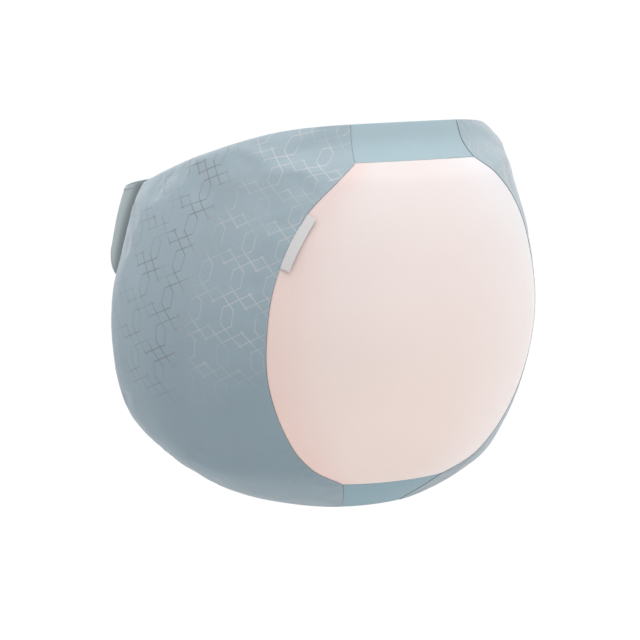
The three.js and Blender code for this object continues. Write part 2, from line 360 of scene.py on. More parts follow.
def grid_faces(columns, rows):
    """Quads of two facing grids and of the walls round their edges."""
    at = np.arange(2 * columns * rows).reshape(2, columns, rows)
    top, under = at

    def quads(a, b, c, d):
        return np.stack([a.ravel(), b.ravel(), c.ravel(), d.ravel()], axis=1)

    parts = [
        quads(top[:-1, :-1], top[1:, :-1], top[1:, 1:], top[:-1, 1:]),
        quads(under[:-1, :-1], under[:-1, 1:], under[1:, 1:], under[1:, :-1]),
        quads(under[:-1, 0], under[1:, 0], top[1:, 0], top[:-1, 0]),
        quads(top[:-1, -1], top[1:, -1], under[1:, -1], under[:-1, -1]),
        quads(top[0, :-1], top[0, 1:], under[0, 1:], under[0, :-1]),
        quads(top[-1, 1:], top[-1, :-1], under[-1, :-1], under[-1, 1:]),
    ]
    return np.concatenate(parts)


def points_inwards(points, faces):
    a, b, c, d = (points[faces[:, k]] for k in range(4))
    return (np.cross(b - a, c - a) * a + np.cross(c - a, d - a) * a).sum() < 0


def add_uv(mesh, name, values):
    """A UV map from one pair of numbers for each vertex."""
    layer = mesh.uv_layers.new(name=name)
    corners = np.empty(len(mesh.loops), np.int32)
    mesh.loops.foreach_get("vertex_index", corners)
    layer.data.foreach_set("uv", np.asarray(values, np.float32)[corners].ravel())


def add_object(name, mesh, material):
    """An object at the origin that rides on the belt's body. Its mesh holds its place."""
    mesh.materials.append(material)
    mesh.shade_smooth()
    piece = bpy.data.objects.new(name, mesh)
    bpy.context.scene.collection.objects.link(piece)
    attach(piece, BODY)
    return piece


def select_only(piece):
    bpy.ops.object.select_all(action="DESELECT")
    bpy.context.view_layer.objects.active = piece
    piece.select_set(True)


def mesh_piece(name, points, faces, material, maps):
    """A piece with smooth faces that point out, and a UV map for each name and its pairs of numbers."""
    if points_inwards(points, faces):
        faces = faces[:, ::-1]
    mesh = bpy.data.meshes.new(name)
    mesh.from_pydata(points.tolist(), [], faces.tolist())
    for map_name, values in maps:
        add_uv(mesh, map_name, values)
    return add_object(name, mesh, material)


def apply_modifier(piece, kind, **settings):
    modifier = piece.modifiers.new(kind.title(), kind)
    for key, value in settings.items():
        setattr(modifier, key, value)
    select_only(piece)
    bpy.ops.object.modifier_apply(modifier=modifier.name)


def cloth_piece(name, outer, inner, material, roll, along=None, up=None, start_column=0, turned=1):
    """A closed piece of cloth between two grids, with rolled edges and three UV maps: the flat cloth
    in metres, the place along and up the piece, and whether a face is an outer one."""
    columns, rows = outer.shape[:2]
    u = arc_lengths(outer, 0)
    v = arc_lengths(outer, 1)
    u = (u - u[start_column]) * turned
    v = v - v[:, rows // 2][:, None]
    cloth = np.stack([np.tile(u.reshape(-1), 2), np.tile(v.reshape(-1), 2)], axis=1)
    along = u * 0 if along is None else along
    up = u * 0 if up is None else up
    place = np.stack([np.tile(along.reshape(-1), 2), np.tile(up.reshape(-1), 2)], axis=1)
    face = np.repeat([[1.0, 0.0], [0.0, 0.0]], columns * rows, axis=0)
    points = np.concatenate([outer.reshape(-1, 3), inner.reshape(-1, 3)])
    maps = (("cloth", cloth), ("place", place), ("face", face))
    piece = mesh_piece(name, points, grid_faces(columns, rows), material, maps)
    apply_modifier(piece, "BEVEL", width=roll, segments=3, limit_method="ANGLE",
                   angle_limit=math.radians(50), miter_outer="MITER_ARC")
    piece.data.shade_smooth()
    return piece


def flat_size(outer):
    """Width and length of the cut, and the area of the cloth in it."""
    width = float(arc_lengths(outer, 0)[-1].max())
    length = float(arc_lengths(outer, 1)[:, -1].max())
    a, b = np.diff(outer, axis=0)[:, :-1], np.diff(outer, axis=1)[:-1]
    area = float(np.linalg.norm(np.cross(a, b), axis=-1).sum())
    return (width, length), min(area, width * length)


def stand_for(node):
    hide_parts(node)


def declare_sheet(outer):
    flat, area = flat_size(outer)


# Stitches: their pitch, thread radius, height of their path over the cloth, and the share of the
# pitch left bare at each end. In thread radii, the middle rises and the ends sink. Each is a pod of
# rings: the share along it and its fullness there.
STITCH_PITCH = 3.2 * MM
STITCH_RADIUS = 0.28 * MM
STITCH_SEAT = 0.1 * MM
STITCH_BARE = 0.14
STITCH_RISE = 0.55
STITCH_SINK = 0.35
STITCH_SIDES = 6
STITCH_RINGS = ((0.0, 0.0), (0.12, 0.75), (0.5, 1.0), (0.88, 0.75), (1.0, 0.0))


def stitches(name, path, out, material):
    """A row of thread stitches along a path of points, each a small rounded pod lying on the cloth."""
    sides = STITCH_SIDES
    length = arc_lengths(path[:, None], 0)[:, 0]
    count = int(length[-1] / STITCH_PITCH)
    pitch = length[-1] / count
    points, faces = [], []

    def on_path(distance, values):
        return np.array([np.interp(distance, length, values[:, k]) for k in range(3)])

    for index in range(count):
        start, end = (index + STITCH_BARE) * pitch, (index + 1 - STITCH_BARE) * pitch
        first, last = on_path(start, path), on_path(end, path)
        normal = on_path((start + end) / 2, out)
        normal = normal / np.linalg.norm(normal)
        line = (last - first) / np.linalg.norm(last - first)
        across = np.cross(line, normal)
        base = len(points)
        for share, fullness in STITCH_RINGS:
            rise = STITCH_RISE * fullness - STITCH_SINK
            centre = mix(first, last, share) + normal * STITCH_RADIUS * rise
            if fullness == 0.0:
                points.append(centre)
                continue
            for side in range(sides):
                angle = 2 * math.pi * side / sides
                swing = across * math.cos(angle) + normal * math.sin(angle)
                points.append(centre + swing * STITCH_RADIUS * fullness)
        tip = base + 1 + 3 * sides
        for side in range(sides):
            after = (side + 1) % sides
            faces.append((base, base + 1 + after, base + 1 + side))
            for ring in (0, 1):
                a, b = base + 1 + ring * sides, base + 1 + (ring + 1) * sides
                faces.append((a + side, a + after, b + after, b + side))
            faces.append((tip, tip - sides + side, tip - sides + after))
    mesh = bpy.data.meshes.new(name)
    mesh.from_pydata(np.array(points).tolist(), [], faces)
    piece = add_object(name, mesh, material)
    select_only(piece)
    bpy.ops.object.mode_set(mode="EDIT")
    bpy.ops.mesh.select_all(action="SELECT")
    bpy.ops.mesh.normals_make_consistent(inside=False)
    bpy.ops.object.mode_set(mode="OBJECT")
    return piece


# Shader node groups

class Nodes:
    """Short ways to add and join the nodes of one tree."""

    def __init__(self, tree):
        self.tree = tree

    def add(self, kind, **settings):
        node = self.tree.nodes.new(kind)
        for key, value in settings.items():
            setattr(node, key, value)
        return node

    def feed(self, socket, value):
        if isinstance(value, bpy.types.NodeSocket):
            self.tree.links.new(value, socket)
        elif value is not None:
            socket.default_value = value

    def maths(self, operation, *values):
        node = self.add("ShaderNodeMath", operation=operation)
        for socket, value in zip(node.inputs, values):
            self.feed(socket, value)
        return node.outputs[0]

    def vector(self, operation, *values, output=0):
        node = self.add("ShaderNodeVectorMath", operation=operation)
        for socket, value in zip(node.inputs, values):
            self.feed(socket, value)
        return node.outputs[output]

    def mixed(self, share, start, end):
        node = self.add("ShaderNodeMix", data_type="RGBA")
        for name, value in (("Factor_Float", share), ("A_Color", start), ("B_Color", end)):
            self.feed(next(s for s in node.inputs if s.identifier == name), value)
        return next(s for s in node.outputs if s.identifier == "Result_Color")

    def ranged(self, value, low, high, to_low=0.0, to_high=1.0, kind="SMOOTHSTEP"):
        node = self.add("ShaderNodeMapRange", interpolation_type=kind)
        for socket, given in zip(node.inputs, (value, low, high, to_low, to_high)):
            self.feed(socket, given)
        return node.outputs[0]

    def noise(self, vector, scale, detail=2.0, roughness=0.5):
        node = self.add("ShaderNodeTexNoise")
        for name, value in (("Vector", vector), ("Scale", scale), ("Detail", detail),
                            ("Roughness", roughness)):
            self.feed(node.inputs[name], value)
        return node.outputs["Fac"]


def new_group(name, inputs, outputs):
    tree = bpy.data.node_groups.new(name, "ShaderNodeTree")
    for socket_name, kind in inputs:
        tree.interface.new_socket(socket_name, in_out="INPUT", socket_type=kind)
    for socket_name, kind in outputs:
        tree.interface.new_socket(socket_name, in_out="OUTPUT", socket_type=kind)
    nodes = Nodes(tree)
    return nodes, nodes.add("NodeGroupInput").outputs, nodes.add("NodeGroupOutput").inputs


def group_once(name, build):
    """The node group of that name, built the first time it is asked for."""
    if name not in bpy.data.node_groups:
        build(name)
    return bpy.data.node_groups[name]


def build_mottle(name):
    """Soft unevenness of dyed cloth: a broad cloud and a finer one, about 1."""
    nodes, given, result = new_group(
        name,
        [("Vector", "NodeSocketVector"), ("Amount", "NodeSocketFloat")],
        [("Tone", "NodeSocketFloat")])
    broad = nodes.maths("SUBTRACT", nodes.noise(given["Vector"], 22.0, 3.0), 0.5)
    fine = nodes.maths("SUBTRACT", nodes.noise(given["Vector"], 420.0, 3.0, 0.65), 0.5)
    both = nodes.maths("ADD", broad, nodes.maths("MULTIPLY", fine, 0.7))
    nodes.feed(result["Tone"], nodes.maths("MULTIPLY_ADD", both, given["Amount"], 1.0))


def build_weave(name):
    """Height of crossing yarns at two pitches in metres, roughened by loose fibres."""
    nodes, given, result = new_group(
        name,
        [("Vector", "NodeSocketVector"), ("Pitch Across", "NodeSocketFloat"),
         ("Pitch Up", "NodeSocketFloat"), ("Fuzz", "NodeSocketFloat")],
        [("Height", "NodeSocketFloat")])
    parts = nodes.add("ShaderNodeSeparateXYZ")
    nodes.feed(parts.inputs[0], given["Vector"])
    full = 2 * math.pi
    across = nodes.maths("DIVIDE", parts.outputs["X"], given["Pitch Across"])
    upward = nodes.maths("DIVIDE", parts.outputs["Y"], given["Pitch Up"])
    lean = nodes.maths("ADD", upward, nodes.maths("MULTIPLY", across, 0.5))
    rib = nodes.maths("ABSOLUTE", nodes.maths("SINE", nodes.maths("MULTIPLY", across, full / 2)))
    loop = nodes.maths("SINE", nodes.maths("MULTIPLY", lean, full))
    yarn = nodes.maths("MULTIPLY_ADD", loop, 0.3, rib)
    fibre = nodes.noise(given["Vector"], 1400.0, 3.0, 0.7)
    nodes.feed(result["Height"], nodes.maths("MULTIPLY_ADD", fibre, given["Fuzz"], yarn))


# Line print: where its lattice starts on the flat cloth, and its width of line
PRINT_START = (-90.8 * MM, -70.4 * MM, 0.0)
PRINT_LINE_WIDTH = 0.75 * MM

# Half of a line's soft edge and the most that an upright side leans, in mm, the strength of the
# upright sides, and how far beyond the repeat a line is still kept, as a share of it
PRINT_SOFT_EDGE = 0.2
PRINT_UPRIGHT_LEAN = 2.0
PRINT_UPRIGHT_STRENGTH = 0.7
PRINT_MARGIN = 0.03

# Its lines in mm. Bars along two directions cross at each knot, and make a chain of small squares
# across the cloth. Upright sides join each chain to the next one below, and close long hexagons.
PRINT_ACROSS = (28.6, -5.8)
PRINT_DOWN = (-4.5, -29.0)
PRINT_LINES = (
    ((-7.2, 7.7), (10.2, -11.0)),
    ((-9.6, -4.3), (13.7, 6.1)),
    ((4.1, 8.1), (21.5, -10.6)),
    ((0.6, -9.0), (23.9, 1.4)),
    ((10.2, -11.0), (9.2, -22.9)),
    ((0.6, -9.0), (-0.4, -20.9)),
)


def print_shares():
    """Two rows that turn a place in mm into shares of the repeat across and down."""
    (ax, ay), (bx, by) = PRINT_ACROSS, PRINT_DOWN
    whole = ax * by - ay * bx
    return (by / whole, -bx / whole, 0.0), (-ay / whole, ax / whole, 0.0)


def lines_in_repeat():
    """The print's lines, and those of the repeats beside it that reach into this one, each with
    whether it is one of the fainter upright sides."""
    rows = np.array(print_shares())[:, :2]
    along = np.linspace(0.0, 1.0, 25)[:, None]
    kept = []
    for i in (-1, 0, 1, 2):
        for j in (-1, 0, 1, 2):
            shift = i * np.array(PRINT_ACROSS) + j * np.array(PRINT_DOWN)
            for start, end in PRINT_LINES:
                line = np.array([start, end]) + shift
                shares = mix(line[0], line[1], along) @ rows.T
                inside = (shares > -PRINT_MARGIN) & (shares < 1 + PRINT_MARGIN)
                if np.any(np.all(inside, axis=1)):
                    kept.append((line, abs(start[0] - end[0]) < PRINT_UPRIGHT_LEAN))
    return kept


def build_line_print(name):
    """Mask of the print's thin lines, from a map in metres. The upright sides are fainter."""
    nodes, given, result = new_group(
        name,
        [("Vector", "NodeSocketVector"), ("Line Width", "NodeSocketFloat")],
        [("Mask", "NodeSocketFloat")])
    place = nodes.vector("MULTIPLY", given["Vector"], (1 / MM, 1 / MM, 0.0))
    folded = None
    for row, repeat in zip(print_shares(), (PRINT_ACROSS, PRINT_DOWN)):
        share = nodes.maths("FRACT", nodes.vector("DOT_PRODUCT", place, row, output=1))
        step = nodes.add("ShaderNodeVectorMath", operation="SCALE")
        step.inputs[0].default_value = (*repeat, 0.0)
        nodes.feed(step.inputs["Scale"], share)
        folded = step.outputs[0] if folded is None else nodes.vector("ADD", folded, step.outputs[0])
    nearest = {}
    for (start, end), upright in lines_in_repeat():
        run = Vector((*(end - start), 0.0))
        from_start = nodes.vector("SUBTRACT", folded, (*start, 0.0))
        reach = nodes.vector("DOT_PRODUCT", from_start, tuple(run / run.length_squared), output=1)
        scaled = nodes.add("ShaderNodeVectorMath", operation="SCALE")
        scaled.inputs[0].default_value = run
        nodes.feed(scaled.inputs["Scale"], nodes.ranged(reach, 0.0, 1.0, kind="LINEAR"))
        distance = nodes.vector("DISTANCE", from_start, scaled.outputs[0], output=1)
        if upright in nearest:
            distance = nodes.maths("MINIMUM", nearest[upright], distance)
        nearest[upright] = distance
    half = nodes.maths("MULTIPLY", given["Line Width"], 0.5 / MM)
    bars, sides = (
        nodes.ranged(nodes.maths("SUBTRACT", half, nearest[upright]), -PRINT_SOFT_EDGE, PRINT_SOFT_EDGE)
        for upright in (False, True))
    fainter = nodes.maths("MULTIPLY", sides, PRINT_UPRIGHT_STRENGTH)
    nodes.feed(result["Mask"], nodes.maths("MAXIMUM", bars, fainter))


# Materials

def new_material(name, roughness, sheen, specular=0.3):
    """A cloth material, its tree's short ways and its shader. Constants sit on the shader."""
    material = bpy.data.materials.new(name)
    material.use_nodes = True
    nodes = Nodes(material.node_tree)
    shader = material.node_tree.nodes["Principled BSDF"]
    shader.inputs["Roughness"].default_value = roughness
    shader.inputs["Specular IOR Level"].default_value = specular
    shader.inputs["Sheen Weight"].default_value = sheen
    shader.inputs["Sheen Roughness"].default_value = 0.45
    return material, nodes, shader


def placed(nodes, group, **values):
    node = nodes.add("ShaderNodeGroup", node_tree=group)
    for key, value in values.items():
        nodes.feed(node.inputs[key.replace("_", " ")], value)
    return node.outputs


def map_of(nodes, name):
    return nodes.add("ShaderNodeUVMap", uv_map=name).outputs[0]


def toned(nodes, colour, tone):
    """The colour made lighter or darker by a tone about 1."""
    node = nodes.add("ShaderNodeVectorMath", operation="SCALE")
    nodes.feed(node.inputs[0], colour if isinstance(colour, bpy.types.NodeSocket) else colour[:3])
    nodes.feed(node.inputs["Scale"], tone)
    return node.outputs[0]


def bump(nodes, shader, height, depth, strength):
    node = nodes.add("ShaderNodeBump")
    node.inputs["Strength"].default_value = strength
    node.inputs["Distance"].default_value = depth
    nodes.feed(node.inputs["Height"], height)
    nodes.feed(shader.inputs["Normal"], node.outputs[0])


def cloth_material(name, colour, mottle, pitches, fuzz, depth, strength, roughness, sheen):
    """Plain cloth: mottled dye, and yarns at pitches across and up that catch the light, with painted
    shade darker in the hollows between the yarns.
    """
    material, nodes, shader = new_material(name, roughness, sheen)
    cloth = map_of(nodes, "cloth")
    tone = placed(nodes, group_once("cloth mottle", build_mottle), Vector=cloth, Amount=mottle)
    height = placed(nodes, group_once("cloth weave", build_weave), Vector=cloth,
                    Pitch_Across=pitches[0], Pitch_Up=pitches[1], Fuzz=fuzz)["Height"]
    # Painted shade: the colour is darker in the weave's hollows and lighter on the yarns' crowns
    worn = nodes.maths("MULTIPLY", tone["Tone"], nodes.ranged(height, -0.3, 2.0, 0.95, 1.05, "LINEAR"))
    nodes.feed(shader.inputs["Base Color"], toned(nodes, colour, worn))
    bump(nodes, shader, height, depth, strength)
    return material, nodes, shader


def painted_light_tint(nodes, shader, places, low, high, axis="Y"):
    """Colour tint that drifts between two places on the piece: painted light and shade."""
    parts = nodes.add("ShaderNodeSeparateXYZ")
    nodes.feed(parts.inputs[0], map_of(nodes, "place"))
    share = nodes.ranged(parts.outputs[axis], places[0], places[1])
    plain = shader.inputs["Base Color"].links[0].from_socket
    tint = nodes.mixed(share, (*low, 1.0), (*high, 1.0))
    nodes.feed(shader.inputs["Base Color"], nodes.vector("MULTIPLY", plain, tint))


def panel_material():
    """Pale jersey with painted light: painted shade makes it rosier along the near seam and darker
    towards the top, and a painted highlight makes it paler towards the far seam.
    """
    material, nodes, shader = cloth_material(
        "panel jersey", colours().panel, mottle=0.04, pitches=(0.9 * MM, 0.7 * MM), fuzz=0.8,
        depth=0.12 * MM, strength=0.35, roughness=0.8, sheen=0.3)
    # Painted shade: darker and cooler towards the top, a little lighter and warmer low down
    painted_light_tint(nodes, shader, (0.1, 1.0), (1.07, 1.03, 1.02), (0.83, 0.87, 0.91))
    # Painted highlight: paler and bluer towards the far seam
    painted_light_tint(nodes, shader, (0.0, 1.0), (1.0, 1.0, 1.0), (1.03, 1.12, 1.17), "X")
    # Painted shade: rosier and darker along the near seam
    painted_light_tint(nodes, shader, (-1.0, -0.6), (1.0, 0.915, 0.898), (1.0, 1.0, 1.0), "X")
    return material


def wing_material():
    """Blue-grey cloth, painted lighter towards the top hem and darker low down and to the rear, with a
    thin foil print that wears away low down and whose painted reflection is pale towards the panel and
    darkens to painted shade at the rear.
    """
    material, nodes, shader = cloth_material(
        "printed wing cloth", colours().wing, mottle=0.13, pitches=(0.8 * MM, 0.8 * MM), fuzz=1.2,
        depth=0.12 * MM, strength=0.3, roughness=0.7, sheen=0.5)
    # Painted light: the cloth is lighter towards the top hem and darker low down
    painted_light_tint(nodes, shader, (0.05, 0.95), (0.88, 0.92, 0.93), (1.14, 1.11, 1.09))
    # Painted shade: the cloth is darker towards the rear
    painted_light_tint(nodes, shader, (0.2, 0.9), (1.03, 1.02, 1.02), (0.93, 0.96, 0.99), "X")
    moved = nodes.add("ShaderNodeMapping")
    nodes.feed(moved.inputs["Vector"], map_of(nodes, "cloth"))
    moved.inputs["Location"].default_value = PRINT_START
    mask = placed(nodes, group_once("line print", build_line_print), Vector=moved.outputs[0],
                  Line_Width=PRINT_LINE_WIDTH)["Mask"]
    place = nodes.add("ShaderNodeSeparateXYZ")
    nodes.feed(place.inputs[0], map_of(nodes, "place"))
    outside = nodes.add("ShaderNodeSeparateXYZ")
    nodes.feed(outside.inputs[0], map_of(nodes, "face"))
    patchy = nodes.ranged(nodes.noise(map_of(nodes, "cloth"), 34.0, 3.0), 0.36, 0.58, 0.25, 1.0)
    # The print wears away below a line that falls towards the rear
    worn_height = nodes.maths("MULTIPLY_ADD", place.outputs["X"], 0.25, place.outputs["Y"])
    fading = nodes.ranged(worn_height, 0.32, 0.58)
    rear = nodes.ranged(place.outputs["X"], 0.7, 0.85, 1.0, 0.3)
    kept = nodes.maths("MULTIPLY", nodes.maths("MULTIPLY", patchy, fading), outside.outputs["X"])
    foil = nodes.maths("MULTIPLY", nodes.maths("MULTIPLY", mask, kept), rear)
    # Painted reflection on the foil: pale towards the panel, giving way to dark painted shade towards
    # the rear
    shade = nodes.ranged(place.outputs["X"], 0.28, 0.5)
    foil_reflection_colour = nodes.mixed(shade, tuple(colours().print_painted_reflection), tuple(colours().print_painted_shade))
    plain = shader.inputs["Base Color"].links[0].from_socket
    nodes.feed(shader.inputs["Base Color"],
               nodes.mixed(nodes.maths("MULTIPLY", foil, 0.62), plain, foil_reflection_colour))
    nodes.feed(shader.inputs["Metallic"], nodes.maths("MULTIPLY", foil, 0.2))
    nodes.feed(shader.inputs["Roughness"], nodes.ranged(foil, 0.0, 1.0, 0.7, 0.52, "LINEAR"))
    return material


def tab_material():
    """Fine-ribbed elastic, with painted shade that makes it more cyan and darker low down."""
    material, nodes, shader = cloth_material(
        "tab elastic", colours().tab, mottle=0.07, pitches=(1.3 * MM, 0.9 * MM), fuzz=0.5,
        depth=0.18 * MM, strength=0.4, roughness=0.8, sheen=0.2)
    # Painted shade: more cyan and darker low down, on the bottom tab
    painted_light_tint(nodes, shader, (0.1, 0.9), (0.8, 0.91, 0.95), (1.0, 1.0, 1.0))
    return material


def strap_material():
    """Woven elastic, with painted shade that makes it darker where it comes out from under the wing."""
    material, nodes, shader = cloth_material(
        "strap elastic", colours().strap, mottle=0.08, pitches=(1.6 * MM, 1.6 * MM), fuzz=0.5,
        depth=0.25 * MM, strength=0.5, roughness=0.85, sheen=0.4)
    # Painted shade in the valley where the strap comes out from under the wing, and a little painted
    # light beyond it
    painted_light_tint(nodes, shader, (0.095, 0.16), (0.36, 0.4, 0.42), (1.08, 1.12, 1.12), "X")
    return material


def hook_material():
    return cloth_material(
        "hook tape", colours().hook, mottle=0.08, pitches=(1.5 * MM, 1.5 * MM), fuzz=1.5,
        depth=0.4 * MM, strength=0.8, roughness=0.9, sheen=0.1)[0]


def label_material():
    return cloth_material(
        "label satin", colours().label, mottle=0.03, pitches=(0.5 * MM, 0.5 * MM), fuzz=0.2,
        depth=0.08 * MM, strength=0.4, roughness=0.5, sheen=0.2)[0]


def thread_material(name, colour):
    """Twisted thread: its colour broken up by its plies."""
    material, nodes, shader = new_material(name, 0.6, 0.2)
    position = nodes.add("ShaderNodeTexCoord").outputs["Object"]
    ply = nodes.noise(position, 900.0, 1.0)
    nodes.feed(shader.inputs["Base Color"], toned(nodes, colour, nodes.ranged(ply, 0.3, 0.7, 0.85, 1.1)))
    return material


# Pieces

PANEL_ROWS = 84
PANEL_COLUMNS = 84
TAB_ROWS = 10
WING_COLUMNS = 60
WING_REAR_COLUMNS = 20
STRAP_ROWS = 20
STRAP_COLUMNS = 110
HOOK_ROWS = 16
HOOK_COLUMNS = 24
LABEL_ROWS = 30
LABEL_FLAT_COLUMNS = 10
LABEL_BEND_COLUMNS = 8
FIRST_STITCHED_COLUMN = 14


def belt_rows():
    """Rows of the bottom tab, the panel and the top tab, which the wings share."""
    bottom, top = panel_ends()
    crowded = (1 - np.cos(np.pi * steps(PANEL_ROWS))) / 2
    panel = mix(bottom, top, (steps(PANEL_ROWS) + crowded) / 2)
    to_hem = np.sin(steps(TAB_ROWS) * np.pi / 2)
    return mix(bottom, 0.0, to_hem)[::-1], panel, mix(top, 1.0, to_hem)


def front_grid(rows, seams, out):
    """Grid of a sheet across the belly, with a third of the clearance left at its bottom and top
    rows where seams says that it is sewn there."""
    gap = sizes().clearance / 3 / sizes().belt_height
    rows = rows.copy()
    rows[0] += gap * seams[0]
    rows[-1] -= gap * seams[1]
    side = np.linspace(-1.0, 1.0, PANEL_COLUMNS + 1)[:, None]
    turn = side * (seam_turn(rows, side) - seam_gap(rows, side))
    up = np.broadcast_to(rows[None, :], turn.shape)
    return belt_point(turn, up, out), np.broadcast_to(side, turn.shape), up


def front_sheet(name, node, rows, seams, thickness, material):
    outer, side, up = front_grid(rows, seams, thickness)
    inner = front_grid(rows, seams, 0.0)[0]
    piece = cloth_piece(name, outer, inner, material, FRONT_ROLL, along=side, up=up,
                        start_column=PANEL_COLUMNS // 2)
    stand_for(node)
    declare_sheet(outer)


class BELT_OT_front_panel(bpy.types.Operator):
    """Add the oval jersey panel over the belly"""

    bl_idname = "belt.front_panel"
    bl_label = "Front Panel"

    def execute(self, context):
        front_sheet("front_panel_jersey", "front_panel", belt_rows()[1], (True, True),
                    sizes().panel_thickness, panel_material())
        return {"FINISHED"}


class BELT_OT_tabs(bpy.types.Operator):
    """Add the elastic inserts above and below the panel"""

    bl_idname = "belt.tabs"
    bl_label = "Tabs"

    def execute(self, context):
        material = tab_material()
        low, _, high = belt_rows()
        front_sheet("top_tab_elastic", "top_tab", high, (True, False),
                    sizes().tab_thickness, material)
        front_sheet("bottom_tab_elastic", "bottom_tab", low, (False, True),
                    sizes().tab_thickness, material)
        return {"FINISHED"}


def fold_relief(along, up):
    """Height of the wing's soft folds, which fade out towards its edges."""
    length, height = WING_FOLD_SPAN
    relief = np.zeros_like(along)
    for fold_along, fold_up, slant, long, wide, high in WING_FOLDS:
        x, y = (along - fold_along) * length, (up - fold_up) * height
        lean = math.radians(slant)
        run, across = x * math.cos(lean) + y * math.sin(lean), y * math.cos(lean) - x * math.sin(lean)
        relief += high * MM * np.exp(-(across / wide) ** 2 - (run / long * 2) ** 2)
    from_ends = np.minimum(along, 1 - along) / FOLD_FADE_ALONG
    from_hems = np.minimum(up, 1 - up) / FOLD_FADE_UP
    return relief * ease(np.minimum(from_ends, from_hems))


def wing_grids(side):
    """Outer and inner grids of a wing, with a rebate for the strap inside its rear edge."""
    belt = sizes()
    low, middle, high = belt_rows()
    rows = np.concatenate([low[:-1], middle, high[1:]])
    degrees_per_metre = 1 / math.radians(belt.body_half_width)
    rebate = belt.strap_thickness + belt.clearance
    rebate_end = WING_REACH - (STRAP_LAP + belt.clearance) * degrees_per_metre
    rebate_start = rebate_end - rebate * degrees_per_metre
    seam = (seam_turn(rows, side) + seam_gap(rows, side))[None, :]
    front = mix(seam, rebate_start, steps(WING_COLUMNS)[:, None])
    rear = mix(rebate_end, WING_REACH, np.sin(steps(WING_REAR_COLUMNS) * np.pi / 2))[:, None]
    turn = np.concatenate([front, np.broadcast_to(rear, (len(rear), len(rows)))])
    up = np.broadcast_to(rows[None, :], turn.shape)
    along = (turn - seam_turn(rows, side)) / (WING_REACH - seam_turn(rows, side))
    inward = np.zeros_like(turn)
    inward[len(front):] = rebate
    outer = belt_point(side * turn, up, wing_thickness(along, up) + fold_relief(along, up))
    return outer, belt_point(side * turn, up, inward), along, up


# Settling of a wing's outer cloth: how much too large it is cut, the padding's push, the rows next
# to its edges that are held, the hold left elsewhere, and how far the cloth may move
SETTLING_FRAMES = 18
SETTLING_GROWTH = 0.007
SETTLING_PRESSURE = 0.25
SETTLING_HELD_ROWS = 3
SETTLING_LEAST_HOLD = 0.02
SETTLING_LIMIT = 1.3 * MM


def settled(outer, side):
    """The outer cloth, cut a little too large, held at its edges and pressed out by its padding."""
    columns, rows = outer.shape[:2]
    at = np.arange(columns * rows).reshape(columns, rows)
    corners = (at[:-1, :-1], at[1:, :-1], at[1:, 1:], at[:-1, 1:])
    faces = np.stack([corner.ravel() for corner in corners], axis=1)
    mesh = bpy.data.meshes.new("settling cloth")
    mesh.from_pydata(outer.reshape(-1, 3).tolist(), [], faces.tolist())
    cloth = bpy.data.objects.new("settling_cloth", mesh)
    bpy.context.scene.collection.objects.link(cloth)
    across = np.minimum(np.arange(columns), np.arange(columns)[::-1])[:, None]
    upward = np.minimum(np.arange(rows), np.arange(rows)[::-1])[None, :]
    hold = 1.0 - np.minimum(across, upward) / SETTLING_HELD_ROWS
    held = np.clip(hold, SETTLING_LEAST_HOLD, 1.0).ravel()
    sewn = cloth.vertex_groups.new(name="sewn")
    for vertex, weight in enumerate(held.tolist()):
        sewn.add([vertex], weight, "REPLACE")
    modifier = cloth.modifiers.new("Cloth", "CLOTH")
    cut = modifier.settings
    cut.quality = 4
    cut.mass = 0.15
    cut.tension_stiffness = 12.0
    cut.compression_stiffness = 12.0
    cut.shear_stiffness = 4.0
    cut.bending_stiffness = 0.3
    cut.vertex_group_mass = "sewn"
    cut.shrink_min = -SETTLING_GROWTH
    cut.use_pressure = True
    cut.uniform_pressure_force = SETTLING_PRESSURE * side
    cut.effector_weights.gravity = 0.0
    modifier.collision_settings.use_collision = False
    modifier.point_cache.frame_start = 1
    modifier.point_cache.frame_end = SETTLING_FRAMES
    for step in range(1, SETTLING_FRAMES + 1):
        bpy.context.scene.frame_set(step)
    select_only(cloth)
    bpy.ops.object.modifier_apply(modifier=modifier.name)
    moved = np.empty(columns * rows * 3)
    cloth.data.vertices.foreach_get("co", moved)
    bpy.data.objects.remove(cloth)
    bpy.context.scene.frame_set(1)
    shift = moved.reshape(outer.shape) - outer
    length = np.linalg.norm(shift, axis=-1, keepdims=True)
    return outer + shift * SETTLING_LIMIT / np.maximum(length, SETTLING_LIMIT)


class BELT_OT_wings(bpy.types.Operator):
    """Add the padded, printed wings"""

    bl_idname = "belt.wings"
    bl_label = "Wings"

    def execute(self, context):
        material = wing_material()
        for name, side in (("right_wing", -1), ("left_wing", 1)):
            outer, inner, along, up = wing_grids(side)
            outer = settled(outer, side)
            piece = cloth_piece(name + "_pad", outer, inner, material, WING_ROLL, along, up,
                                start_column=-1, turned=side)
            stand_for(name)
        return {"FINISHED"}


def both_straps():
    """Name, side and lift at the closure of each strap. The left one laps outside the patch."""
    belt = sizes()
    lift = belt.strap_thickness + belt.hook_thickness + 2 * belt.clearance
    return ("right_strap", -1, 0.0), ("left_strap", 1, lift)


